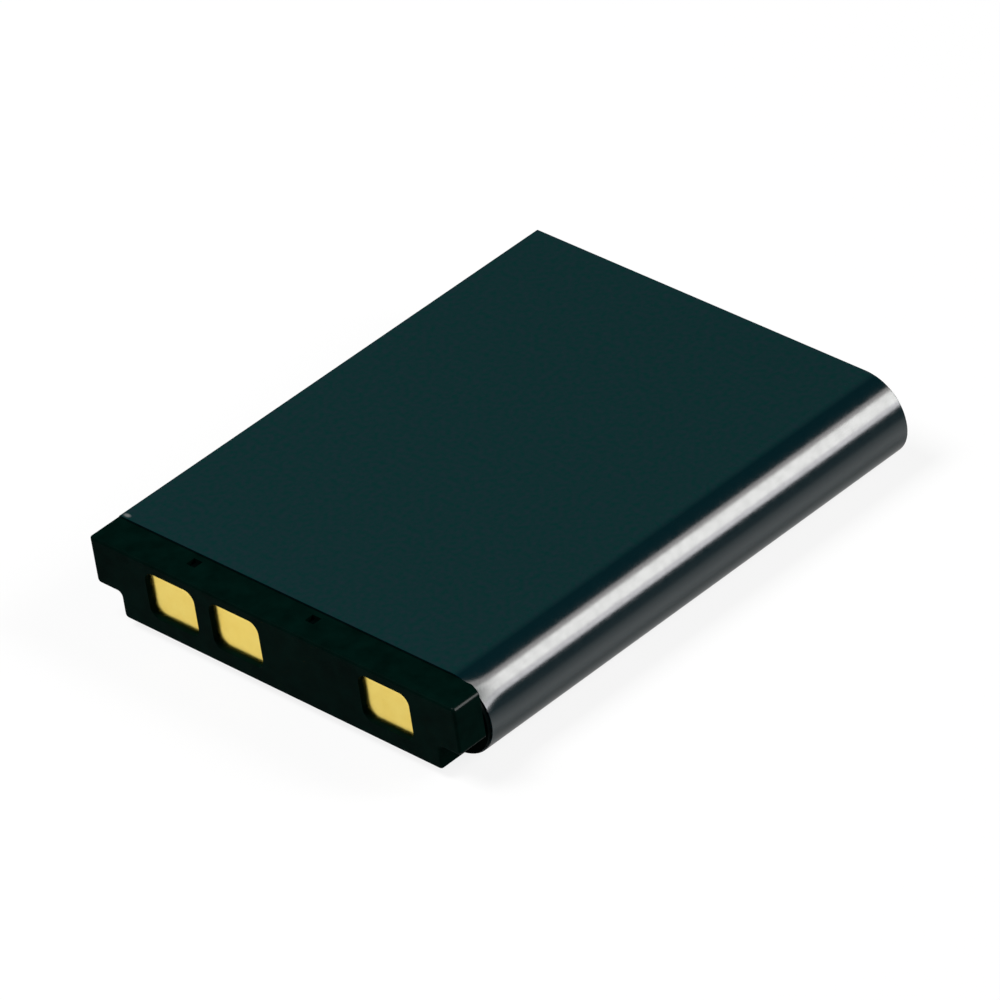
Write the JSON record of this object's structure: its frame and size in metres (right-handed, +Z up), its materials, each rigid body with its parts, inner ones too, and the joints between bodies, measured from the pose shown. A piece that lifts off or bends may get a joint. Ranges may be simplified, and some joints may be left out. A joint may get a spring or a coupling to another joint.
{
  "type": "camera battery",
  "caption": "Flat rechargeable camera battery with a square side, a round side, and a black contact end with recessed gold contacts.",
  "frame": {"origin": "centre of the underside's bounding rectangle, on the face that the pack lies on", "axes": "+X across the width towards the rounded side, +Y along the length away from the contact end, +Z up through the thickness"},
  "size_m": [0.0316, 0.04, 0.006],
  "materials": {
    "label_film": "satin printed film",
    "cap_plastic": "fine moulded texture",
    "frame_plastic": "moulded",
    "gold_plate": "gold-plated, satin",
    "can_aluminium": "drawn, satin",
    "nickel": "rolled strip",
    "steel": "ground",
    "gasket_plastic": "moulded",
    "insulating_paper": "pressed sheet",
    "cutoff_plastic": "moulded",
    "board_laminate": "solder mask",
    "chip_epoxy": "moulded",
    "chip_ceramic": "glazed body, tinned ends",
    "capacitor_ceramic": "fired body, tinned ends",
    "adhesive": "double-sided tape"
  },
  "bodies": {
    "root": {"label_sleeve": "label_film", "end_cap": "cap_plastic", "board_holder": "frame_plastic", "contact_positive": "gold_plate", "contact_thermistor": "gold_plate", "contact_negative": "gold_plate", "cell_can": "can_aluminium", "terminal_rivet": "steel", "rivet_gasket": "gasket_plastic", "fill_port_ball": "steel", "lid_insulator": "insulating_paper", "positive_weld_plate": "nickel", "positive_tab": "nickel", "negative_tab": "nickel", "thermal_cutoff": "cutoff_plastic", "cutoff_tab": "nickel", "circuit_board": "board_laminate", "mosfet_pair": "chip_epoxy", "protection_chip": "chip_epoxy", "thermistor": "chip_ceramic", "chip_resistors": "chip_ceramic", "chip_capacitors": "capacitor_ceramic", "side_rail": "frame_plastic", "rear_cover": "frame_plastic", "rear_adhesive": "adhesive"}
  },
  "joints": []
}
